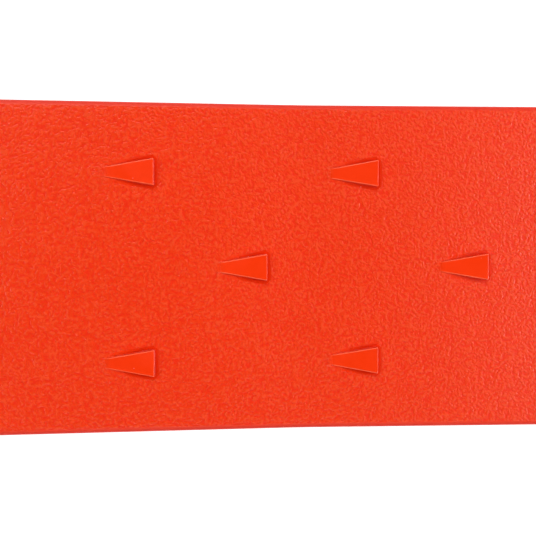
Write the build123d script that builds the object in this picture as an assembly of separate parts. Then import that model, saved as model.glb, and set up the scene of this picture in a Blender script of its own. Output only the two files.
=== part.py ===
from build123d import *
import math
import os

# A spiked tree-felling wedge: one solid moulding in tough orange-red plastic.
# The thin tip points to -X and is driven into the saw cut; the head that the
# hammer strikes is at +X; the width runs along Y. The wedge lies on the barbs
# of its flat lower face, so Z = 0 is the surface that it rests on, and the
# origin is the middle of the rectangle that it covers there. Sizes are in mm.
# The real wedge is one piece. Here the body and each barb are solids of their
# own that meet face to face, so that a barb can be changed or left out.

# Body
length = 254.0
width = 66.0
tip_thickness = 3.0
bend_thickness = 9.8         # where the shallow tip taper turns into the lifting taper
head_thickness = 30.0
edge_radius = 1.1            # on every edge of the body
tip_corner_radius = 5.0      # corners of the tip, seen from above
head_chamfer = 2.5           # all round the striking face, so that it doesn't mushroom

# Barb: a narrow low toe towards the tip, a wide steep crest towards the head
barb_length = 9.5
barb_toe_width = 1.9
barb_crest_width = 5.25
barb_toe_height = 0.1
barb_height = 1.4
barb_crest_radius = 0.2

# Barb pattern on each face: columns of two and columns of one take turns
first_crest = 71.0           # from the tip to the crests of the first column
column_pitch = 22.5
column_count = 7
row_offset = 19.0            # from the middle of the face to each outer row
bend_margin = 1.8            # flat face left between a barb and the curve of the bend

# The bend lies midway between the second column's crests and the third column's toes
column_gap = column_pitch - barb_length
bend_from_tip = first_crest + column_pitch + column_gap / 2

tip_x = -length / 2
head_x = length / 2
bend_x = tip_x + bend_from_tip
ramp_angle = math.atan2(barb_height - barb_toe_height, barb_length)
crest_drop = barb_crest_radius * (math.tan(ramp_angle) + 1 / math.cos(ramp_angle) - 1)
lower_z = barb_height - crest_drop  # the rounded crests of the lower barbs touch the ground
tip_slope = math.atan2(bend_thickness - tip_thickness, bend_from_tip)
lift_slope = math.atan2(head_thickness - bend_thickness, length - bend_from_tip)
bend_half_length = column_gap / 2 - bend_margin
bend_radius = bend_half_length / math.tan((lift_slope - tip_slope) / 2)


def upper_slope(x):
    """Slope of the upper face at x, in radians."""
    return tip_slope if x < bend_x else lift_slope


def upper_z(x):
    """Height of the upper face at x, with the bend taken as sharp."""
    return lower_z + bend_thickness + (x - bend_x) * math.tan(upper_slope(x))


def side_profile():
    """The body seen from the side: flat below, two tapers above with a hollow bend."""
    head_shoulder = head_x - head_chamfer
    outline = Polyline(
        (tip_x, lower_z),
        (head_shoulder, lower_z),
        (head_x, lower_z + head_chamfer),
        (head_x, upper_z(head_x) - head_chamfer),
        (head_shoulder, upper_z(head_shoulder)),
        (bend_x, upper_z(bend_x)),
        (tip_x, upper_z(tip_x)),
        close=True,
    )
    profile = make_face(Plane.XZ * outline)
    bend_corner = profile.vertices().sort_by_distance((bend_x, 0, upper_z(bend_x)))[0]
    return fillet(bend_corner, bend_radius)


def upright_edges(body, at_x):
    """The upright corner edges at one end of the body."""
    return body.edges().filter_by(Axis.Z).filter_by_position(Axis.X, at_x - 0.01, at_x + 0.01)


def seams(body):
    """The edges where a flat face runs smoothly into a curved one, at the tip and the bend."""
    edges = body.edges()
    tip_end = tip_x + 2 * tip_corner_radius
    at_tip = edges.filter_by(Axis.Z).filter_by_position(Axis.X, tip_x, tip_end)
    bend_start = bend_x - column_gap / 2
    bend_end = bend_x + column_gap / 2
    at_bend = edges.filter_by(Axis.Y).filter_by_position(Axis.X, bend_start, bend_end)
    return at_tip + at_bend


def wedge_body():
    """The moulding without its barbs."""
    body = extrude(side_profile(), width / 2, both=True)
    body = chamfer(upright_edges(body, head_x), head_chamfer)
    body = fillet(upright_edges(body, tip_x), tip_corner_radius)
    smooth = seams(body)
    return fillet([edge for edge in body.edges() if edge not in smooth], edge_radius)


def barb():
    """One barb on the XY plane, with its crest at X = 0 and its toe towards -X."""
    plan = Polyline(
        (-barb_length, -barb_toe_width / 2),
        (0, -barb_crest_width / 2),
        (0, barb_crest_width / 2),
        (-barb_length, barb_toe_width / 2),
        close=True,
    )
    ramp = Polyline(
        (-barb_length, 0),
        (0, 0),
        (0, barb_height),
        (-barb_length, barb_toe_height),
        close=True,
    )
    block = extrude(make_face(plan), barb_height)
    solid = block & extrude(make_face(Plane.XZ * ramp), barb_crest_width, both=True)
    crest_edge = solid.edges().filter_by(Axis.Y).sort_by(Axis.Z)[-1]
    return fillet(crest_edge, barb_crest_radius)


def column_rows(column):
    """The rows that hold a barb in a column, seen from the head: name and place across."""
    if column % 2:
        return {"middle": 0}
    return {"left": -row_offset, "right": row_offset}


def upper_place(x, y):
    """Where a barb stands on the upper face, tilted with the taper."""
    return Location((x, y, upper_z(x)), (0, -math.degrees(upper_slope(x)), 0))


def lower_place(x, y):
    """Where a barb hangs from the lower face, turned over about its length."""
    return Location((x, y, lower_z), (180, 0, 0))


def barbs():
    """Every barb of both faces, by name, with the columns counted from the tip."""
    pattern = {}
    for column in range(column_count):
        crest_x = tip_x + first_crest + column * column_pitch
        for row, y in column_rows(column).items():
            pattern[f"upper_barb_{column + 1}_{row}"] = upper_place(crest_x, y) * barb()
            pattern[f"lower_barb_{column + 1}_{row}"] = lower_place(crest_x, y) * barb()
    return pattern


os.makedirs("parts", exist_ok=True)
export_step(wedge_body(), "parts/wedge_body.step")
for name, solid in barbs().items():
    export_step(solid, f"parts/{name}.step")
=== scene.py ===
# %% [markdown]
# # A spiked felling wedge, moulded in one shot
#
# A tree feller drives this wedge into the saw cut behind the blade, so that
# the cut can't close and the tree leans the right way. It is one solid
# moulding in tough orange-red plastic. Its two broad faces carry rows of
# barbs that let it slide in and stop it from jumping back out.
#
# The lesson builds it in the order of a toolmaker: first the block with its
# tapers, then one barb that is repeated, then the grain and the polish of the
# mould, and last the studio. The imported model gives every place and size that
# matters, so the first cell loads it and keeps its box.

import math

import bmesh
import bpy
from mathutils import Matrix, Vector, noise
from mathutils.bvhtree import BVHTree


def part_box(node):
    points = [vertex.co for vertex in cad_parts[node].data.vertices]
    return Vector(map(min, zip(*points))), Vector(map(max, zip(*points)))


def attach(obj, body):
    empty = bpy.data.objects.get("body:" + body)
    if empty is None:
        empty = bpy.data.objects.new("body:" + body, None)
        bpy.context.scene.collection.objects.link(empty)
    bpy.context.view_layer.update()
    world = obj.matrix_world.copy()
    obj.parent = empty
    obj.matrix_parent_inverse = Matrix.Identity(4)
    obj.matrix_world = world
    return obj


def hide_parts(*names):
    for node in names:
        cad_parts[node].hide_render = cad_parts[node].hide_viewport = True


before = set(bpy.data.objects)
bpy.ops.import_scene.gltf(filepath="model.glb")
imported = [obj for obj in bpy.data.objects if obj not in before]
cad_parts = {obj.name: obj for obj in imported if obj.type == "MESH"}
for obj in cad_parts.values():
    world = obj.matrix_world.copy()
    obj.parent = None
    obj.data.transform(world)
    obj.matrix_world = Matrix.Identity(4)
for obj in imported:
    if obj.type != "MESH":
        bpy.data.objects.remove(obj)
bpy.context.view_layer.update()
scene = bpy.context.scene
MM = 0.001
QUARTER = math.pi / 2         # a right angle

print("CAD nodes:", len(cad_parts))

# %% [markdown]
# ## What the frame says about the block
#
# The side view of the block is four straight lines: a flat underside and an
# upper face with a shallow taper near the tip and a steeper, lifting taper
# behind it. Two straight lines can be measured with two probes each. A probe
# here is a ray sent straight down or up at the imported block. Where the lines
# cross is the bend, and everything later on asks these lines for its height.

# %% Probe the block and find its two tapers
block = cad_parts["wedge_body"]
block_low, block_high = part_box("wedge_body")
probe_tree = BVHTree.FromPolygons(
    [vertex.co for vertex in block.data.vertices],
    [face.vertices for face in block.data.polygons],
)
TIP_PROBES = (15 * MM, 80 * MM)      # distances from the tip
LIFT_PROBES = (120 * MM, 20 * MM)    # distances from the striking face


def probe_height(x, down=True):
    """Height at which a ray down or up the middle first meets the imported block."""
    side = 1.0 if down else -1.0
    return probe_tree.ray_cast(Vector((x, 0, side)), Vector((0, 0, -side)))[0].z


def line_through(x0, x1):
    """Height at x = 0 and slope of the upper face, from probes at two places."""
    z0, z1 = probe_height(x0), probe_height(x1)
    slope = (z1 - z0) / (x1 - x0)
    return z0 - slope * x0, slope


tip_x, head_x = block_low.x, block_high.x
half_width = block_high.y
underside_z = probe_height(0, down=False)
tip_line = line_through(*(tip_x + distance for distance in TIP_PROBES))
lift_line = line_through(*(head_x - distance for distance in LIFT_PROBES))
bend_x = (tip_line[0] - lift_line[0]) / (lift_line[1] - tip_line[1])

print(f"bend at x = {bend_x / MM:.2f} mm, underside at z = {underside_z / MM:.3f} mm")
print(f"tip taper {math.degrees(math.atan(tip_line[1])):.2f} degrees,",
      f"lifting taper {math.degrees(math.atan(lift_line[1])):.2f} degrees")

# %% [markdown]
# ## The shape of the block
#
# A block with rounded edges could be a cube with a Bevel modifier, but a bevel
# treats every edge alike, and here the tip's corners, the head's chamfers and
# the long edges all differ. So the block is built as a ship is lofted: one
# closed ring of points for every station along its length, with quads between
# neighbouring rings. Each ring is a rounded rectangle whose width, top and
# bottom come from small functions.
#
# A thick moulding shrinks as it cools. Its faces sink by a few hundredths of a
# millimetre in the middle and are never quite flat, which is what makes a
# reflection drift across plastic. The two halves of the mould leave a fine
# ridge where they meet, half way up the sides.

# %% Sizes of the block that the frame doesn't spell out
EDGE_RADIUS = 1.1 * MM
TIP_CORNER = 5.0 * MM
HEAD_CHAMFER = 2.5 * MM
BEND_HALF = 4.7 * MM          # half the length of the hollow where the tapers meet
FACE_STEP = 1.6 * MM          # distance between stations
FACE_COLUMNS = 44             # quads across a broad face
CORNER_STEPS = 7              # quads round an edge
SINK = 0.05 * MM              # in the middle of a broad face
TIP_FADE = 60 * MM            # the sink grows over this distance from the tip ...
HEAD_FADE = 25 * MM           # ... and fades over this one before the striking face
WAVE_SIZE = 28 * MM
WAVE_HEIGHT = 0.025 * MM
PARTING_RIDGE = 0.09 * MM
PARTING_HALF_WIDTH = 0.16 * MM
SIDE_MARGIN = 0.4 * MM        # plain strip between a rounded edge and the rest of the side
THIN_RIDGE = 0.1              # the most that the ridge's half width takes of half the height,
THIN_MARGIN = 0.2             # and that the plain strip takes, where the tip is thin
print(f"in mm: edges {EDGE_RADIUS / MM:.1f}, head chamfer {HEAD_CHAMFER / MM:.1f},",
      f"sink {SINK / MM:.2f}, parting ridge {PARTING_RIDGE / MM:.2f}")


def upper_z(x):
    """Height of the upper face: two lines with a smooth hollow where they meet."""
    reach = x - bend_x
    if abs(reach) < BEND_HALF:
        hollow = (lift_line[1] - tip_line[1]) * (reach + BEND_HALF) ** 2 / (4 * BEND_HALF)
        return tip_line[0] + tip_line[1] * x + hollow
    base, slope = tip_line if reach < 0 else lift_line
    return base + slope * x


def face_wave(x, y):
    """How far a broad face lies above its ideal plane: a shallow sink and slow waves."""
    across = 1 - (y / half_width) ** 2
    along = min(1, (x - tip_x) / TIP_FADE, (head_x - x) / HEAD_FADE)
    waves = noise.noise(Vector((x, y, 0)) / WAVE_SIZE) * WAVE_HEIGHT
    return across ** 2 * max(0, along) * (waves - SINK)


# %% [markdown]
# The head is chamfered all round so that hammer blows don't spread its rim.
# In section the chamfer is a 45 degree line that runs into the side and into
# the striking face through small arcs. The function below gives, for a depth
# in from the striking face, how far the outline has drawn in.

# %% The head's chamfer in section
CHAMFER_ANGLE = math.radians(45)
CHAMFER_STEPS = 4             # round each small arc
CHAMFER_SHARES = (0.35, 0.5, 0.65)   # places on the straight line between the arcs
chamfer_arc = EDGE_RADIUS * math.tan(CHAMFER_ANGLE / 2)


def head_stations():
    """Pairs of (distance from the striking face, how far the outline draws in)."""
    face_arc = []
    for step in range(CHAMFER_STEPS + 1):
        turn = CHAMFER_ANGLE * step / CHAMFER_STEPS
        face_arc.append((EDGE_RADIUS * (1 - math.cos(turn)),
                         HEAD_CHAMFER + chamfer_arc - EDGE_RADIUS * math.sin(turn)))
    line = [(HEAD_CHAMFER * share, HEAD_CHAMFER * (1 - share)) for share in CHAMFER_SHARES]
    side_arc = [(inset, depth) for depth, inset in reversed(face_arc)]
    return face_arc + line + side_arc


for depth, inset in head_stations()[::CHAMFER_STEPS]:
    print(f"{depth / MM:.2f} mm in from the striking face",
          f"the outline draws in {inset / MM:.2f} mm")

# %% [markdown]
# ## One ring of the block
#
# A ring starts on the upper face, turns down over the right edge, passes the
# mould's parting ridge on the side and comes back along the underside. At the
# tip the rounding of the nose and the rounding of its corners meet. Cutting
# that double curve at a station gives the angle at which the edge's arc starts,
# which is why the ring asks for the distance from the tip.

# %% Points of one ring


def ring_section(x, inset):
    """Half the width, top, bottom and first edge angle of the ring at x."""
    from_tip = x - tip_x
    reach = min(EDGE_RADIUS, from_tip)
    start = math.asin(max(0.0, 1 - reach / EDGE_RADIUS))
    return from_tip, start, upper_z(x) - inset, underside_z + inset


def outline_half_width(from_tip, drawn_in):
    """Half the width of the outline seen from above, with its edge drawn in by drawn_in."""
    if from_tip >= TIP_CORNER:
        return half_width - drawn_in
    radius = TIP_CORNER - drawn_in
    rise = radius ** 2 - (TIP_CORNER - from_tip) ** 2
    return half_width - TIP_CORNER + math.sqrt(max(0.0, rise))


def edge_arc(from_tip, start, top, inset):
    """Points (y, z, edge) over the rounded edge, from the broad face to the side."""
    points = []
    for step in range(CORNER_STEPS + 1):
        turn = start + (QUARTER - start) * step / CORNER_STEPS
        drawn_in = EDGE_RADIUS * (1 - math.sin(turn))
        y = outline_half_width(from_tip, drawn_in) - inset
        z = top - EDGE_RADIUS * (1 - math.cos(turn))
        points.append((y, z, math.sqrt(max(0.0, math.sin(2 * turn)))))
    return points


def side_points(y, top, bottom):
    """Points (y, z, edge) down the side, with the parting ridge half way."""
    half, middle = (top - bottom) / 2, (top + bottom) / 2
    margin = min(SIDE_MARGIN, THIN_MARGIN * half)
    ridge = min(PARTING_HALF_WIDTH, THIN_RIDGE * half)
    offsets = (half - margin, half / 2, 2 * ridge, ridge)
    above = [(y, middle + offset, 0) for offset in offsets]
    below = [(y, middle - offset, 0) for offset in reversed(offsets)]
    return above + [(y + PARTING_RIDGE, middle, 0)] + below


def ring_points(x, inset=0.0):
    """One closed ring at x as a list of (point, edge), clockwise seen from the tip."""
    from_tip, start, top, bottom = ring_section(x, inset)
    arc = edge_arc(from_tip, start, top, inset)
    low_arc = [(y, bottom + top - z, edge) for y, z, edge in arc][::-1]
    right = arc + side_points(arc[-1][0], arc[-1][1], low_arc[0][1]) + low_arc
    strip_half, strip_drop = arc[0][0], arc[0][1] - top
    across = [strip_half * (2 * column / FACE_COLUMNS - 1)
              for column in range(1, FACE_COLUMNS)]
    ring = [((x, y, top + strip_drop + face_wave(x, y)), 0) for y in across]
    ring += [((x, y, z), edge) for y, z, edge in right]
    ring += [((x, -y, bottom - strip_drop - face_wave(x, -y)), 0) for y in across]
    ring += [((x, -y, z), edge) for y, z, edge in reversed(right)]
    return ring


print("points in a ring:", len(ring_points(0.0)))

# %% [markdown]
# ## Stations and end caps
#
# Stations stand close together where the form turns quickly: round the nose,
# round the tip's corners, through the hollow of the bend and over the head's
# chamfer. In between they are evenly spaced. Both ends are closed with a grid
# of quads that follows the ring's own columns, so there is no fan of long thin
# triangles to catch the light.

# %% List the stations
NOSE_STEPS = 8
TIP_CORNER_STEPS = 10
HOLLOW_STEPS = 6              # on each side of the bend
HOLLOW_MARGIN = 0.3 * MM      # kept free of other stations beside the hollow


def block_stations():
    """Pairs (x, inset) from the tip to the striking face."""
    nose = [EDGE_RADIUS * (1 - math.cos(QUARTER * k / NOSE_STEPS))
            for k in range(NOSE_STEPS + 1)]
    corner = [TIP_CORNER - (TIP_CORNER - EDGE_RADIUS) * math.cos(QUARTER * k / TIP_CORNER_STEPS)
              for k in range(1, TIP_CORNER_STEPS + 1)]
    head = head_stations()
    start, end = tip_x + TIP_CORNER, head_x - head[-1][0]
    count = round((end - start) / FACE_STEP)
    middle = [start + (end - start) * k / count for k in range(1, count)]
    middle = [x for x in middle if abs(x - bend_x) > BEND_HALF + HOLLOW_MARGIN]
    hollow = [bend_x + BEND_HALF * k / HOLLOW_STEPS
              for k in range(-HOLLOW_STEPS, HOLLOW_STEPS + 1)]
    xs = [tip_x + d for d in nose + corner] + sorted(middle + hollow)
    return [(x, 0.0) for x in xs] + [(head_x - d, inset) for d, inset in reversed(head)]


stations = block_stations()
print("stations:", len(stations))

# %% Loft rings into points and faces


def loft(rounds):
    """Points, masks and faces, and each ring's point numbers, from rings of (point, *masks)."""
    vertices, masks, faces, rings = [], [], [], []
    for points in rounds:
        rings.append(list(range(len(vertices), len(vertices) + len(points))))
        vertices += [point for point, *_ in points]
        masks += [tuple(values) for _, *values in points]
    for one, two in zip(rings, rings[1:]):
        faces += [(one[k - 1], one[k], two[k], two[k - 1]) for k in range(len(one))]
    return vertices, masks, faces, rings


block_vertices, block_masks, block_faces, block_rings = loft(
    [ring_points(x, inset) for x, inset in stations])
block_edges = [edge for edge, in block_masks]
print("sides of the block:", len(block_vertices), "points,", len(block_faces), "faces")

# %% Close both ends with a grid


def cap(vertices, edges, faces, ring, outward):
    """Closes a ring with a grid that follows its columns and side points."""
    columns = FACE_COLUMNS - 1
    side = len(ring) // 2 - columns
    right = ring[columns:columns + side]
    left = ring[2 * columns + side:][::-1]
    top = [left[0]] + ring[:columns] + [right[0]]
    bottom = [left[-1]] + ring[columns + side:2 * columns + side][::-1] + [right[-1]]
    inner = []
    for row in range(CORNER_STEPS, side - CORNER_STEPS):
        line = []
        for upper, lower in zip(top, bottom):
            x, y = vertices[upper][0], vertices[upper][1]
            lift = vertices[right[row]][1] - vertices[right[CORNER_STEPS]][1]
            line.append(len(vertices))
            vertices.append((x + outward * lift, y, vertices[right[row]][2]))
            edges.append(0)
        inner.append(line)
    lines = [top, *inner, bottom]
    patches = []
    for upper, lower in zip(lines, lines[1:]):
        patches += zip(upper, upper[1:], lower[1:], lower)
    for k, (one, two) in enumerate(zip(inner, inner[1:]), CORNER_STEPS):
        patches += [(one[-1], right[k], right[k + 1], two[-1]),
                    (left[k], one[0], two[0], left[k + 1])]
    for k in range(CORNER_STEPS):
        low = side - 1 - k
        patches += [(inner[0][-1], right[k], right[k + 1]), (inner[0][0], left[k + 1], left[k]),
                    (inner[-1][-1], right[low - 1], right[low]),
                    (inner[-1][0], left[low], left[low - 1])]
    faces += [patch if outward > 0 else patch[::-1] for patch in patches]


cap(block_vertices, block_edges, block_faces, block_rings[0], -1)
cap(block_vertices, block_edges, block_faces, block_rings[-1], 1)
print("block:", len(block_vertices), "points,", len(block_faces), "faces before welding")

# %% [markdown]
# The nose's first ring has no height of its edge arc left, so some of its
# points fall on each other. Welding them is what a modeller does after any
# loft. The edge mask travels with the points as an attribute called `edge`,
# and the materials read it to know where the mould's grain runs out.

# %% Turn points and faces into a welded object
WELD = 0.002 * MM


def make_piece(name, vertices, faces, **masks):
    """A smooth-shaded mesh object with the given masks on its points."""
    mesh = bpy.data.meshes.new(name)
    mesh.from_pydata([tuple(v) for v in vertices], [], faces)
    for label, values in masks.items():
        mesh.attributes.new(label, "FLOAT", "POINT").data.foreach_set("value", values)
    work = bmesh.new()
    work.from_mesh(mesh)
    bmesh.ops.remove_doubles(work, verts=work.verts, dist=WELD)
    bmesh.ops.dissolve_degenerate(work, edges=work.edges, dist=WELD)
    bmesh.ops.recalc_face_normals(work, faces=work.faces)
    open_edges = sum(1 for edge in work.edges if len(edge.link_faces) != 2)
    work.to_mesh(mesh)
    work.free()
    mesh.shade_smooth()
    piece = bpy.data.objects.new(name, mesh)
    scene.collection.objects.link(piece)
    if open_edges:
        print(name, "has", open_edges, "edges without two faces")
    return piece


body_piece = make_piece("grained_block", block_vertices, block_faces, edge=block_edges)
print("block after welding:", len(body_piece.data.vertices), "points,",
      len(body_piece.data.polygons), "faces")

# %% [markdown]
# ## One barb
#
# A barb is a small ramp: narrow and low towards the tip so that it slides in,
# wide and steep towards the head so that it bites. The toolmaker mills each
# one as a pocket in the mould with a small cutter, so its corners keep the
# cutter's radius and its floor is polished where the rest of the mould is
# grained. The cutter also clears the grain from a narrow ring round the
# pocket, and that ring comes out smooth. Painted shade darkens the ring,
# most at the root, and fades towards its rim and towards the toe. The mesh is
# lofted from rings again. It lies a hair above the face at the root and dips
# below the face at the smooth ring's rim, and a skirt reaches a little way
# into the block, so that no gap can open between the two.
#
# Three masks travel with the points: `edge` where a pale line is painted
# along the rounded edges as a highlight, `ground` where the block's grain takes
# over, and `root` where painted shade darkens the smooth ring round the root.

# %% Sizes of a barb, from the imported one
sample_low, sample_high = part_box("lower_barb_2_middle")
BARB_LENGTH = sample_high.x - sample_low.x
BARB_SPREAD = 0.075 * MM      # flash that widens each side a little
BARB_HALF_CREST = (sample_high.y - sample_low.y) / 2 + BARB_SPREAD
BARB_HEIGHT = underside_z - sample_low.z
BARB_HALF_TOE = 0.95 * MM + BARB_SPREAD
TOE_HEIGHT = 0.1 * MM
TOE_RUN = 0.6 * MM            # over which the toe runs out into the face
BARB_RADIUS = 0.18 * MM       # the cutter's radius on the upper edges
BARB_CORNER = 0.2 * MM        # on the two crest corners, seen from above
PALE_LINE_WIDTH = 0.25 * MM         # of the pale line painted along an edge as a highlight
ROOT_RADIUS = 0.12 * MM       # where the walls run out into the block
RADIUS_SHARE = 0.6            # the most that the upper edges' radius takes of the height,
ROOT_SHARE = 0.3              # and that the root takes, where the toe is low
SIDE_FLARE = 0.17             # how fast the sides still spread as they reach the crest
CREST_POWER = 4               # keeps the painted highlight line to the last part of the crest's rounding
APRON = 0.95 * MM             # smooth ring round the root, where the cutter cleared the grain
APRON_RISE = 0.008 * MM       # the ring lies a hair above the face at the root ...
APRON_FALL = 0.010 * MM       # ... and falls to a hair below it at its rim
APRON_SHARES = (0.33, 0.66, 0.97, 1.0)   # places between the root and the ring's rim
APRON_POWER = 1.5             # how long the ring's painted shade stays strong before it fades at its rim
SHADE_RUN = BARB_LENGTH / 1.5  # over which the ring's painted shade grows, from the toe
GROUND_RUN = 1.5 * MM         # over which the grain fades out from the toe
SKIRT = 0.25 * MM
THIN = 0.001 * MM             # height left where a ring has none, so that it stays a ring
LENGTH_STEPS = 22
WIDTH_STEPS = 9               # odd, so that the strips that close the ends meet in a quad
ARC_STEPS = 5
print(f"barb {BARB_LENGTH / MM:.2f} long, {2 * BARB_HALF_CREST / MM:.2f} wide at the crest,"
      f" {BARB_HEIGHT / MM:.2f} high, in mm")

# %% Points of one ring of the barb


def between(value):
    """The value, held between 0 and 1."""
    return min(1.0, max(0.0, value))


def apron_point(out, grain, shade_reach):
    """A point (y past the root, z, edge, ground, root) of the apron, out = 0 at the root."""
    fade = out ** APRON_POWER
    # the root mask is painted shade, strongest at the root and fading towards the ring's rim
    shade = (1 - fade) * (1 - grain) * shade_reach
    return (out * APRON, APRON_RISE - out * APRON_FALL, 0, max(grain, fade, 1 - shade_reach), shade)


def barb_ring(x, half, height, edge, sunk=0.0):
    """One ring of a barb as (point, edge, ground, root), from apron to apron over the top."""
    radius = min(BARB_RADIUS, RADIUS_SHARE * height)
    root = min(ROOT_RADIUS, ROOT_SHARE * height)
    grain = between(1 - (x + BARB_LENGTH + TOE_RUN) / GROUND_RUN)
    shade_reach = between((x + BARB_LENGTH) / SHADE_RUN)
    foot = half + root
    base = APRON_RISE - sunk
    right = [(foot + APRON, -SKIRT, 0, 1, 0)]
    for out in (*reversed(APRON_SHARES), 0.0):
        y, z, worn, grained, shade = apron_point(out, grain, shade_reach)
        right.append((foot + y, z - sunk, worn, grained, shade))
    # painted shade on the root arc, fading out as it rises to the wall
    for step in range(1, ARC_STEPS + 1):
        turn = QUARTER * step / ARC_STEPS
        right.append((half + root * (1 - math.sin(turn)),
                      base + root * (1 - math.cos(turn)), 0, grain,
                      (1 - grain) * math.cos(turn)))
    right.append((half, base + (root + height - radius) / 2, 0, grain, 0))
    # the upper arc carries the edge mask for the painted highlight line
    for step in range(ARC_STEPS + 1):
        turn = QUARTER * step / ARC_STEPS
        right.append((half - radius * (1 - math.cos(turn)),
                      base + height - radius * (1 - math.sin(turn)),
                      max(edge, math.sin(turn)), grain, 0))
    inner = half - max(radius, PALE_LINE_WIDTH)
    right.append((inner, base + height, edge, grain, 0))
    across = [inner * (1 - 2 * k / WIDTH_STEPS) for k in range(1, WIDTH_STEPS)]
    top = [(y, base + height, edge, grain, 0) for y in across]
    left = [(-y, *rest) for y, *rest in reversed(right)]
    return [((x, y, z), *masks) for y, z, *masks in right + top + left]


print("points in a barb's ring:", len(barb_ring(0.0, BARB_HALF_CREST, BARB_HEIGHT, 0.0)))

# %% [markdown]
# The rings run from the toe to the crest. The toe rises out of the face without
# a step, because a step there would catch in the wood. At the crest the rings
# draw in over a quarter circle, which rounds the upper edge and both corners at
# once. Then they sink to the face and end in a small root arc.

# %% Sections of a barb


def barb_sections():
    """Rings of a barb as (x, half width, height, edge mask, sunk), from toe to crest."""
    slope = (BARB_HEIGHT - TOE_HEIGHT) / BARB_LENGTH
    start, end = -BARB_LENGTH - TOE_RUN, -BARB_CORNER
    sections = [(start - out * APRON, BARB_HALF_TOE, THIN, 0.0, APRON_FALL)
                for out in reversed(APRON_SHARES[-2:])]
    for step in range(LENGTH_STEPS + 1):
        x = start + (end - start) * step / LENGTH_STEPS
        share = max(0.0, (x + BARB_LENGTH) / BARB_LENGTH)
        sections.append((x, BARB_HALF_TOE + (BARB_HALF_CREST - BARB_HALF_TOE) * share,
                         TOE_HEIGHT + slope * (x + BARB_LENGTH), 0.0, 0.0))
    x, half, height, *_ = sections[-1]
    crest_steps = ARC_STEPS + 1
    for step in range(1, crest_steps + 1):
        turn = QUARTER * step / crest_steps
        reach = BARB_CORNER * math.sin(turn)
        inset = BARB_CORNER * (1 - math.cos(turn))
        drop = BARB_RADIUS / BARB_CORNER * inset
        sections.append((x + reach, half + SIDE_FLARE * reach - inset,
                         height + slope * reach - drop, math.sin(turn) ** CREST_POWER, 0.0))
    x, half, height, *_ = sections[-1]
    root = ROOT_RADIUS
    sections += [(x, half, (height + root) / 2, 0.0, 0.0), (x, half, root, 0.0, 0.0)]
    for step in range(1, ARC_STEPS):
        turn = QUARTER * step / ARC_STEPS
        sections.append((x + root * (1 - math.cos(turn)), half,
                         root * (1 - math.sin(turn)), 0.0, 0.0))
    sections.append((x + root, half, THIN, 0.0, 0.0))
    return sections


print("sections of a barb:", len(barb_sections()))

# %% Loft the barb and close its ends


def barb_rounds():
    """All rings of a barb as (point, edge, ground, root), with its crest at x = 0."""
    rounds = [barb_ring(*section) for section in barb_sections()]
    for k, points in enumerate(rounds):
        (ring_x, _, _), *_ = points[0]
        # the crest's wall takes the full painted shade where the grain is gone
        if ring_x > -THIN:
            rounds[k] = [(point, worn, grained, max(shade, 1 - grained))
                         for point, worn, grained, shade in points]
    last = rounds[-1]
    # past the crest the ring's painted shade fades out towards its rim
    for out in APRON_SHARES:
        rounds.append([((x + out * APRON, y, z - out * APRON_FALL), 0,
                        max(out ** APRON_POWER, grained), shade * (1 - out))
                       for (x, y, z), _, grained, shade in last])
    return rounds


def barb_mesh():
    """Vertices, faces and masks (edge, ground, root) of one barb."""
    vertices, masks, faces, rings = loft(barb_rounds())
    for ring, outward in ((rings[0], -1), (rings[-1], 1)):
        half = len(ring) // 2
        strip = [(ring[k], ring[k + 1], ring[-2 - k], ring[-1 - k]) for k in range(half - 1)]
        faces += [quad if outward > 0 else quad[::-1] for quad in strip]
    return vertices, faces, dict(zip(("edge", "ground", "root"), zip(*masks)))


barb_vertices, barb_faces, barb_masks = barb_mesh()
barb_tallest = max(z for _, _, z in barb_vertices)
print("one barb:", len(barb_vertices), "points,", len(barb_faces), "faces")

# %% [markdown]
# ## All the barbs
#
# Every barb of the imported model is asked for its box. The highest x of the box
# is the foot of the crest, and a ray from there finds the face of the lofted
# block. The taper's slope gives a small frame of axes on the face, and the one
# barb is copied into it. On the underside up becomes down, which turns the barb
# over, and it is stretched a little so that its crest touches the ground that
# the wedge lies on.
#
# The face isn't flat: it has its sink, its waves and the hollow of the bend. So
# every point of a barb is also shifted by what the face below it departs from
# flat, and the smooth ring stays a hair above the face all the way round.

# %% Set each barb on its face
loft_tree = BVHTree.FromPolygons(
    [vertex.co for vertex in body_piece.data.vertices],
    [face.vertices for face in body_piece.data.polygons],
)


def seat(node):
    """The axes of the face below a packed barb's crest, as a matrix."""
    low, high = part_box(node)
    above = low.z > underside_z
    middle = Vector((high.x, (low.y + high.y) / 2, 0))
    fall = Vector((0, 0, -1.0 if above else 1.0))
    point = loft_tree.ray_cast(middle - fall, fall)[0]
    slope = (lift_line if middle.x > bend_x else tip_line)[1] if above else 0.0
    stretch = 1.0 if above else (point.z - low.z) / barb_tallest
    along = Vector((1, 0, slope)).normalized()
    up = Vector((-slope, 0, 1)).normalized() if above else Vector((0, 0, -1))
    across = up.cross(along)
    up = up * stretch
    return Matrix((
        (along.x, across.x, up.x, point.x),
        (along.y, across.y, up.y, point.y),
        (along.z, across.z, up.z, point.z),
        (0, 0, 0, 1),
    ))


def on_face(place, vertex):
    """A barb's point in its place, shifted by what the face below it departs from flat."""
    up = place.col[2].xyz.normalized()
    flat = place @ Vector((vertex[0], vertex[1], 0))
    face = loft_tree.ray_cast(flat + up * MM, -up)[0]
    return place @ Vector(vertex) + face - flat


barb_nodes = sorted(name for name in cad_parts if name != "wedge_body")
barb_pieces = {}
for node in barb_nodes:
    place = seat(node)
    placed = [on_face(place, vertex) for vertex in barb_vertices]
    barb_pieces[node] = make_piece("moulded_" + node, placed, barb_faces, **barb_masks)
print("barbs:", len(barb_pieces))

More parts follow.
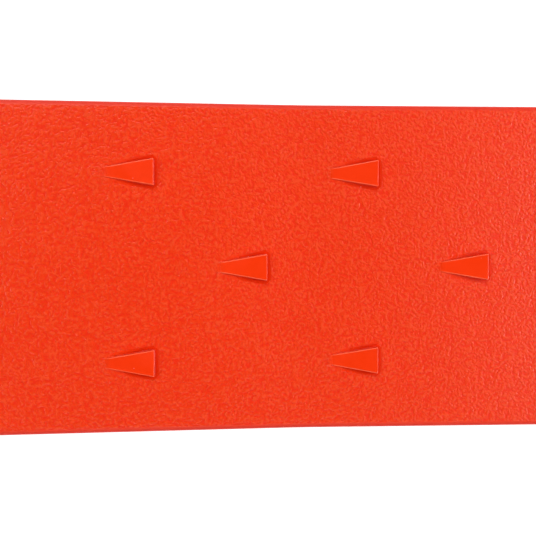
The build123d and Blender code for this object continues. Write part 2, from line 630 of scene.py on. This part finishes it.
# %% [markdown]
# ## Effects that both finishes share
#
# Two finishes share four effects. Each effect is a node group that is built
# once, with named sockets, and then placed in a material with its own values:
#
# - **mould grain** is the texture that a spark or acid leaves in the steel and
#   the plastic copies: rounded, worm-like cells a millimetre or less across. Its
#   masks of the cells' pits and tops carry painted shade and a painted sheen.
# - **edge wear** picks out the rounded edges and breaks the mask up, because
#   edges polish unevenly in use. The block takes it as a little pale wear, the
#   barbs as a painted highlight line.
# - **colour flow** is the slow change of tint where the melt met or cooled.
# - **dust** is a sparse scatter of fine pale specks.

# %% A helper that builds a node group with named sockets


def new_group(name, inputs, outputs):
    """A shader node group with float or vector sockets, and its in and out nodes."""
    tree = bpy.data.node_groups.new(name, "ShaderNodeTree")
    kinds = {float: "NodeSocketFloat", tuple: "NodeSocketVector"}
    for label, default in inputs.items():
        socket = tree.interface.new_socket(
            label, in_out="INPUT", socket_type=kinds[type(default)])
        socket.default_value = default
    for label in outputs:
        tree.interface.new_socket(label, in_out="OUTPUT", socket_type="NodeSocketFloat")
    return tree, tree.nodes.new("NodeGroupInput"), tree.nodes.new("NodeGroupOutput")


def feed(tree, node, inputs):
    """Links every socket, and sets every plain value, on a node's inputs."""
    for socket, source in inputs.items():
        if isinstance(source, bpy.types.NodeSocket):
            tree.links.new(source, node.inputs[socket])
        else:
            node.inputs[socket].default_value = source
    return node


def add(tree, kind, inputs=None, **settings):
    """Adds a node, applies its settings and inputs, and returns it."""
    node = tree.nodes.new("ShaderNode" + kind)
    for key, value in settings.items():
        setattr(node, key, value)
    return feed(tree, node, inputs or {})


def calc(tree, operation, a, b=0.0, clamp=False):
    """A Math node's result."""
    return add(tree, "Math", {0: a, 1: b}, operation=operation, use_clamp=clamp).outputs[0]


def remap(tree, value, low, high, to_low=0.0, to_high=1.0):
    """A Map Range node's result, smooth at both ends."""
    node = add(tree, "MapRange", {"Value": value, "From Min": low, "From Max": high,
                                  "To Min": to_low, "To Max": to_high},
               interpolation_type="SMOOTHSTEP")
    return node.outputs["Result"]


# %% The mould grain
PLATEAU = (0.32, 0.68)        # noise between a cell's floor and its flat top
PIT_RANGE = (0.50, 0.34)      # noise below which the pits take painted shade and more roughness
TOP_RANGE = (0.52, 0.68)      # noise above which the cell tops take a painted sheen
FINE_RATIO = 2.7              # fine grains to one cell
grain_tree, grain_in, grain_out = new_group(
    "mould grain",
    {"Vector": (0.0, 0.0, 0.0), "Cells per metre": 900.0, "Waviness": 0.6,
     "Fine share": 0.25, "Keep": 1.0},
    ["Height", "Pits", "Tops"],
)
warp = add(grain_tree, "TexNoise",
           {"Vector": grain_in.outputs["Vector"], "Scale": 700.0, "Detail": 1.0})
warp_offset = add(grain_tree, "VectorMath", {0: warp.outputs["Color"], 1: (0.5, 0.5, 0.5)},
                  operation="SUBTRACT")
warp_amount = calc(grain_tree, "MULTIPLY", grain_in.outputs["Waviness"], MM)
warp_scaled = add(grain_tree, "VectorMath", {0: warp_offset.outputs[0], "Scale": warp_amount},
                  operation="SCALE")
warped = add(grain_tree, "VectorMath",
             {0: grain_in.outputs["Vector"], 1: warp_scaled.outputs[0]}, operation="ADD")
cells = add(grain_tree, "TexNoise", {"Vector": warped.outputs[0],
                                     "Scale": grain_in.outputs["Cells per metre"],
                                     "Detail": 1.2, "Roughness": 0.45})
plateau = remap(grain_tree, cells.outputs["Fac"], *PLATEAU)
fine_scale = calc(grain_tree, "MULTIPLY", grain_in.outputs["Cells per metre"], FINE_RATIO)
fine = add(grain_tree, "TexNoise", {"Vector": grain_in.outputs["Vector"], "Scale": fine_scale,
                                    "Detail": 2.0, "Roughness": 0.6})
fine_part = calc(grain_tree, "MULTIPLY", fine.outputs["Fac"], grain_in.outputs["Fine share"])
grain_sum = calc(grain_tree, "ADD", plateau, fine_part)
grain_height = calc(grain_tree, "MULTIPLY", grain_sum, grain_in.outputs["Keep"])
# masks for the painted shade in the pits and the painted sheen on the cell tops
pits = remap(grain_tree, cells.outputs["Fac"], *PIT_RANGE)
tops = remap(grain_tree, cells.outputs["Fac"], *TOP_RANGE)
feed(grain_tree, grain_out, {
    "Height": grain_height,
    "Pits": calc(grain_tree, "MULTIPLY", pits, grain_in.outputs["Keep"]),
    "Tops": calc(grain_tree, "MULTIPLY", tops, grain_in.outputs["Keep"]),
})
print("mould grain:", len(grain_tree.nodes), "nodes")

# %% Edge mask for wear and painted highlight, colour flow and dust
WEAR_RANGE = (0.35, 0.65)     # noise between an edge that is kept and one that is made pale
FLOW_RANGE = (0.3, 0.7)
SPECK_RIM = (0.10, 0.03)      # from a cell's middle, in cells: outside and inside a speck
SPECK_CHOICE = (0.86, 0.90)   # only the cells with a random value above this hold a speck
# the broken edge mask serves as wear on the block and as a painted highlight on the barbs
wear_and_highlight_tree, wear_in, wear_out = new_group(
    "edge wear", {"Vector": (0.0, 0.0, 0.0), "Edge": 0.0, "Evenness": 0.6}, ["Wear"])
wear_noise = add(wear_and_highlight_tree, "TexNoise", {"Vector": wear_in.outputs["Vector"], "Scale": 420.0,
                                         "Detail": 3.0, "Roughness": 0.6})
wear_break = remap(wear_and_highlight_tree, wear_noise.outputs["Fac"], *WEAR_RANGE)
wear_floor = calc(wear_and_highlight_tree, "MAXIMUM", wear_break, wear_in.outputs["Evenness"])
feed(wear_and_highlight_tree, wear_out, {
    "Wear": calc(wear_and_highlight_tree, "MULTIPLY", wear_in.outputs["Edge"], wear_floor, clamp=True)})

flow_tree, flow_in, flow_out = new_group(
    "colour flow", {"Vector": (0.0, 0.0, 0.0), "Size": 22.0}, ["Flow"])
flow_noise = add(flow_tree, "TexNoise", {"Vector": flow_in.outputs["Vector"],
                                         "Scale": flow_in.outputs["Size"], "Detail": 3.0,
                                         "Roughness": 0.55, "Distortion": 0.6})
feed(flow_tree, flow_out, {"Flow": remap(flow_tree, flow_noise.outputs["Fac"], *FLOW_RANGE)})

dust_tree, dust_in, dust_out = new_group(
    "dust", {"Vector": (0.0, 0.0, 0.0), "Specks per metre": 260.0, "Amount": 0.1}, ["Dust"])
dust_cells = add(dust_tree, "TexVoronoi", {"Vector": dust_in.outputs["Vector"],
                                           "Scale": dust_in.outputs["Specks per metre"]})
speck = remap(dust_tree, dust_cells.outputs["Distance"], *SPECK_RIM)
chance = add(dust_tree, "SeparateColor", {0: dust_cells.outputs["Color"]})
chosen = remap(dust_tree, chance.outputs[0], *SPECK_CHOICE)
speck_kept = calc(dust_tree, "MULTIPLY", speck, chosen)
feed(dust_tree, dust_out, {
    "Dust": calc(dust_tree, "MULTIPLY", speck_kept, dust_in.outputs["Amount"])})
print("effect groups:", [tree.name for tree in bpy.data.node_groups])

# %% [markdown]
# ## The grained finish of the block
#
# The block's colour is a strong orange-red pigment, almost without blue. What
# separates its faces from the barbs is not the pigment but the grain: every
# little slope catches the lights round the wedge and mixes some white into
# the red. So the tints stay close to each other, with painted shade in the pits
# and a painted sheen on the cells' tops, and the bump and the roughness do most
# of the work.

# %% Helpers that place effects in a material


def place_group(tree, group, inputs):
    """Puts a shared effect into a material with its own values."""
    node = tree.nodes.new("ShaderNodeGroup")
    node.node_tree = group
    return feed(tree, node, inputs)


def new_material(name):
    """A material with its tree, its Principled shader and object coordinates."""
    material = bpy.data.materials.new(name)
    material.use_nodes = True
    tree = material.node_tree
    return material, tree, tree.nodes["Principled BSDF"], add(tree, "TexCoord").outputs["Object"]


def mask(tree, name):
    """A mask that the mesh carries on its points."""
    return add(tree, "Attribute", attribute_name=name).outputs["Fac"]


MIX_A, MIX_B, MIX_RESULT = 6, 7, 2   # the Mix node's colour sockets


def mix_colours(tree, factor, one, two):
    """A Mix node's colour."""
    node = add(tree, "Mix", {"Factor": factor}, data_type="RGBA")
    return feed(tree, node, {MIX_A: one, MIX_B: two}).outputs[MIX_RESULT]


# %% Tints and grain of the plastic
PIGMENT = (0.77, 0.036, 0.0032, 1)
PIGMENT_DEEP = (0.75, 0.033, 0.0026, 1)
# painted shade in the grain's pits, and a painted sheen on its cell tops
PIGMENT_PIT_SHADE = (0.75, 0.021, 0.0010, 1)
PIGMENT_TOP_SHEEN = (0.78, 0.056, 0.013, 1)
# painted shade, on the block's rounded edges and round the barbs' roots
PIGMENT_SHADE = (0.67, 0.016, 0.0006, 1)
# pale edges: a little rubbed wear on the block, a painted highlight line on the barbs
PIGMENT_PALE_WEAR_AND_HIGHLIGHT = (0.95, 0.15, 0.062, 1)
DUST_TINT = (0.8, 0.7, 0.65, 1)
SPECULAR = 0.33               # of both finishes, set on the shader's own socket
GRAIN = {"Cells per metre": 1750.0, "Fine share": 0.16}
GRAIN_DEPTH = 0.048 * MM
FACE_FLOW_SIZE = 24.0         # scale of the colour flow in the grained faces
print("a cell of the grain is about", round(1000 / GRAIN["Cells per metre"], 2), "mm across")

# %% Build the grained plastic
GRAINED_WEAR, GRAINED_DUST = 0.08, 0.03
GRAINED_ROUGHNESS = (0.28, 0.34)     # between the pits and in them
EDGE_ROUGHNESS = 0.3                 # added on the rounded edges


def grained_tint(tree, grain, flow):
    """The block's colour: flow of the melt, painted shade in the pits and a painted sheen on the
    cell tops.
    """
    tint = mix_colours(tree, flow.outputs["Flow"], PIGMENT_DEEP, PIGMENT)
    tint = mix_colours(tree, grain.outputs["Pits"], tint, PIGMENT_PIT_SHADE)
    return mix_colours(tree, grain.outputs["Tops"], tint, PIGMENT_TOP_SHEEN)


grained, tree, shader, vector = new_material("grained orange-red plastic")
edge = mask(tree, "edge")
keep = calc(tree, "SUBTRACT", 1.0, edge, clamp=True)
grain = place_group(tree, grain_tree, {"Vector": vector, "Keep": keep, **GRAIN})
wear_and_highlight = place_group(tree, wear_and_highlight_tree, {"Vector": vector, "Edge": edge, "Evenness": 0.5})
flow = place_group(tree, flow_tree, {"Vector": vector, "Size": FACE_FLOW_SIZE})
dust = place_group(tree, dust_tree, {"Vector": vector, "Amount": GRAINED_DUST})
tint = grained_tint(tree, grain, flow)
# painted shade on the block's rounded edges, which turn away from the lights
tint = mix_colours(tree, edge, tint, PIGMENT_SHADE)
# a little pale wear on the block's rounded edges
pale_edge = calc(tree, "MULTIPLY", wear_and_highlight.outputs["Wear"], GRAINED_WEAR)
tint = mix_colours(tree, pale_edge, tint, PIGMENT_PALE_WEAR_AND_HIGHLIGHT)
tint = mix_colours(tree, dust.outputs["Dust"], tint, DUST_TINT)
rough = calc(tree, "ADD", remap(tree, grain.outputs["Pits"], 0.0, 1.0, *GRAINED_ROUGHNESS),
             calc(tree, "MULTIPLY", edge, EDGE_ROUGHNESS))
bump = add(tree, "Bump", {"Height": grain.outputs["Height"], "Distance": GRAIN_DEPTH,
                          "Strength": 1.0})
feed(tree, shader, {"Base Color": tint, "Roughness": rough, "Normal": bump.outputs["Normal"],
                    "Specular IOR Level": SPECULAR})
body_piece.data.materials.append(grained)
print("grained plastic:", len(tree.nodes), "nodes")

# %% [markdown]
# ## The polished finish of the barbs
#
# The pockets for the barbs are cut after the mould is grained, so the barbs
# come out smooth. A real polished face still shows fine cutter marks and a few
# specks. A very weak bump keeps the reflection alive without reading as grain.

# %% Build the smooth plastic
SMOOTH_DEEP = (0.84, 0.034, 0.0024, 1)
SMOOTH_BRIGHT = (0.87, 0.038, 0.0042, 1)
# the barbs' pale edge line is a painted highlight
SMOOTH_EDGE_HIGHLIGHT, SMOOTH_DUST = 0.85, 0.2
SMOOTH_ROUGHNESS = (0.18, 0.24)
GROUND_ROUGHNESS = 0.1        # added where the block's grain takes over
CUTTER_MARKS = 0.03           # depth of the cutter's marks as a share of the grain's

smooth, tree, shader, vector = new_material("smooth orange-red plastic")
edge, ground, root = (mask(tree, name) for name in ("edge", "ground", "root"))
wear_and_highlight = place_group(tree, wear_and_highlight_tree, {"Vector": vector, "Edge": edge, "Evenness": 0.7})
flow = place_group(tree, flow_tree, {"Vector": vector, "Size": 120.0})
marks = place_group(tree, grain_tree, {"Vector": vector, "Cells per metre": 500.0,
                                       "Fine share": 0.5})
grain = place_group(tree, grain_tree, {"Vector": vector, "Keep": ground, **GRAIN})
face_flow = place_group(tree, flow_tree, {"Vector": vector, "Size": FACE_FLOW_SIZE})
dust = place_group(tree, dust_tree, {"Vector": vector, "Specks per metre": 700.0,
                                     "Amount": SMOOTH_DUST})
tint = mix_colours(tree, flow.outputs["Flow"], SMOOTH_DEEP, SMOOTH_BRIGHT)
# painted highlight along the barbs' rounded edges
pale_edge = calc(tree, "MULTIPLY", wear_and_highlight.outputs["Wear"], SMOOTH_EDGE_HIGHLIGHT)
tint = mix_colours(tree, pale_edge, tint, PIGMENT_PALE_WEAR_AND_HIGHLIGHT)
tint = mix_colours(tree, ground, tint, grained_tint(tree, grain, face_flow))
# painted shade round the barbs' roots and on the crest's wall
tint = mix_colours(tree, root, tint, PIGMENT_SHADE)
tint = mix_colours(tree, dust.outputs["Dust"], tint, DUST_TINT)
rough = calc(tree, "ADD", remap(tree, flow.outputs["Flow"], 0.0, 1.0, *SMOOTH_ROUGHNESS),
             calc(tree, "MULTIPLY", ground, GROUND_ROUGHNESS))
height = add(tree, "Math", {0: marks.outputs["Height"], 1: CUTTER_MARKS,
                            2: grain.outputs["Height"]}, operation="MULTIPLY_ADD").outputs[0]
bump = add(tree, "Bump", {"Height": height, "Distance": GRAIN_DEPTH, "Strength": 1.0})
feed(tree, shader, {"Base Color": tint, "Roughness": rough, "Normal": bump.outputs["Normal"],
                    "Specular IOR Level": SPECULAR})
for piece in barb_pieces.values():
    piece.data.materials.append(smooth)
print("materials:", [material.name for material in bpy.data.materials])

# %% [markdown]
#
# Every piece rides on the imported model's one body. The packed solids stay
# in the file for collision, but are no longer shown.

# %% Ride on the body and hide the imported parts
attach(body_piece, "root")
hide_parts("wedge_body")
for node, piece in barb_pieces.items():
    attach(piece, "root")
    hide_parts(node)

# %% [markdown]
# ## Floor
#
# The wedge lies on a white table that is lit from inside a little, as product
# tables are, so that the shadow beside the block stays pale. Away from the
# wedge it glows more, so that it runs into the white room without a grey band.
# A faint mottle keeps it from being a dead flat white.

# %% Shape of the table top
FLOOR_RADIUS = 3.0
FLOOR_RINGS = 24              # closer together near the wedge
FLOOR_SPOKES = 96


def floor_mesh():
    """A round table top of quads with a triangle fan in the middle."""
    vertices, faces = [(0, 0, 0)], []
    for ring in range(1, FLOOR_RINGS + 1):
        radius = FLOOR_RADIUS * (ring / FLOOR_RINGS) ** 2
        vertices += [(radius * math.cos(2 * math.pi * k / FLOOR_SPOKES),
                      radius * math.sin(2 * math.pi * k / FLOOR_SPOKES), 0)
                     for k in range(FLOOR_SPOKES)]
    for k in range(FLOOR_SPOKES):
        after = (k + 1) % FLOOR_SPOKES
        faces.append((0, 1 + k, 1 + after))
        for ring in range(FLOOR_RINGS - 1):
            base = 1 + ring * FLOOR_SPOKES
            faces.append((base + k, base + FLOOR_SPOKES + k,
                          base + FLOOR_SPOKES + after, base + after))
    return vertices, faces


floor = make_piece("table_top", *floor_mesh())

# %% Finish of the table top
TABLE_TINTS = ((0.84, 0.84, 0.84, 1), (0.88, 0.88, 0.88, 1))
TABLE_GLOW = ((0.52, 0.52, 0.52, 1), (0.97, 0.97, 0.97, 1))   # at the wedge, and far away
GLOW_RUN = (0.25, 1.1)        # metres from the wedge between which the glow grows

white, tree, shader, vector = new_material("white table")
flow = place_group(tree, flow_tree, {"Vector": vector, "Size": 3.0})
from_wedge = add(tree, "VectorMath", {0: vector}, operation="LENGTH").outputs["Value"]
far = remap(tree, from_wedge, *GLOW_RUN)
feed(tree, shader, {
    "Base Color": mix_colours(tree, flow.outputs["Flow"], *TABLE_TINTS),
    "Roughness": 0.7,
    "Emission Color": mix_colours(tree, far, *TABLE_GLOW),
    "Emission Strength": 1.0,
})
floor.data.materials.append(white)
print("table top:", FLOOR_RADIUS, "m in radius")

# %% [markdown]
# ## Light
#
# Gloss shows what stands around an object. Here two large soft lights stand
# beyond the head and beyond the tip, two weaker ones stand beside the wedge,
# a faint one hangs high over the head, and the room above is dim. The grain's
# slopes pick up the lights and turn them into a pale haze, and a painted sheen
# on the cells' tops adds to it. The flat barb tops and the smooth rings round
# them look up into the dim ceiling and stay a clean red, and painted shade
# makes the rings deeper still. Only the camera sees the room as white, so that
# the floor has no visible end.

# %% A room that is dim round the horizon and dimmer overhead
ROOM_WALL, ROOM_CEILING = 0.06, 0.01
CEILING_START, CEILING_END = 0.25, 0.85   # upward part of a ray, from wall to ceiling

world = bpy.data.worlds.new("studio room")
world.use_nodes = True
scene.world = world
room = world.node_tree
background = room.nodes["Background"]
direction = add(room, "TexCoord").outputs["Generated"]
height = add(room, "SeparateXYZ", {0: direction}).outputs["Z"]
seen = add(room, "LightPath").outputs["Is Camera Ray"]
dim = remap(room, height, CEILING_START, CEILING_END, ROOM_WALL, ROOM_CEILING)
pale = calc(room, "MULTIPLY", seen, 1.0 - ROOM_WALL)
feed(room, background, {"Color": (1, 1, 1, 1), "Strength": calc(room, "ADD", dim, pale)})
print("room strength:", ROOM_WALL, "at the walls,", ROOM_CEILING, "overhead")

# %% Soft lights
aim = Vector((bend_x, 0, upper_z(bend_x)))
SOFT_LIGHTS = (
    # name, azimuth and elevation in degrees, distance in metres, size in metres, watts
    ("beyond the head", 0, 35, 0.8, (0.6, 0.4), 5.2),
    ("beyond the tip", 180, 35, 0.8, (0.6, 0.4), 2.6),
    ("right side", 110, 42, 0.7, (0.52, 0.35), 2.2),
    ("left side", 265, 45, 0.8, (0.6, 0.4), 1.55),
    ("high over the head", 5, 62, 0.8, (1.0, 0.34), 1.4),
)


def studio_place(azimuth, elevation, distance):
    """A place round the wedge: azimuth 0 is beyond the head, 90 beside its right side."""
    a, e = math.radians(azimuth), math.radians(elevation)
    return aim + distance * Vector((math.cos(a) * math.cos(e), math.sin(a) * math.cos(e),
                                    math.sin(e)))


def soft_light(name, place, size, power):
    """A rectangular soft light at a place in metres, turned towards the bend."""
    data = bpy.data.lights.new(name, "AREA")
    data.shape = "RECTANGLE"
    data.size, data.size_y = size
    data.energy = power
    light = bpy.data.objects.new(name, data)
    light.location = place
    light.rotation_euler = (aim - place).to_track_quat("-Z", "Y").to_euler()
    scene.collection.objects.link(light)


for name, azimuth, elevation, distance, size, power in SOFT_LIGHTS:
    soft_light(name, studio_place(azimuth, elevation, distance), size, power)

# %% [markdown]
# ## Camera
#
# The view is a close-up from above with a normal lens, as a buyer would look
# at the barbs. The camera stands a little towards the tip and looks back at
# the head by ten degrees, so that it meets the lifting taper more squarely.

# %% Camera
LENS, SENSOR = 50.0, 36.0
CAMERA_PLACE = Vector((-32.50, 3.31, 148.0)) * MM   # from the middle of the bend
CAMERA_TURN = (-1.30, -10.03, -0.08)                # degrees from looking straight down
camera_data = bpy.data.cameras.new("close-up")
camera_data.lens, camera_data.sensor_width = LENS, SENSOR
camera_data.clip_start = 0.01
camera = bpy.data.objects.new("close-up", camera_data)
camera.location = aim + CAMERA_PLACE
camera.rotation_euler = [math.radians(angle) for angle in CAMERA_TURN]
scene.collection.objects.link(camera)
scene.camera = camera
scene.view_settings.view_transform = "Standard"
print("camera in mm:", [round(c / MM, 1) for c in camera.location])
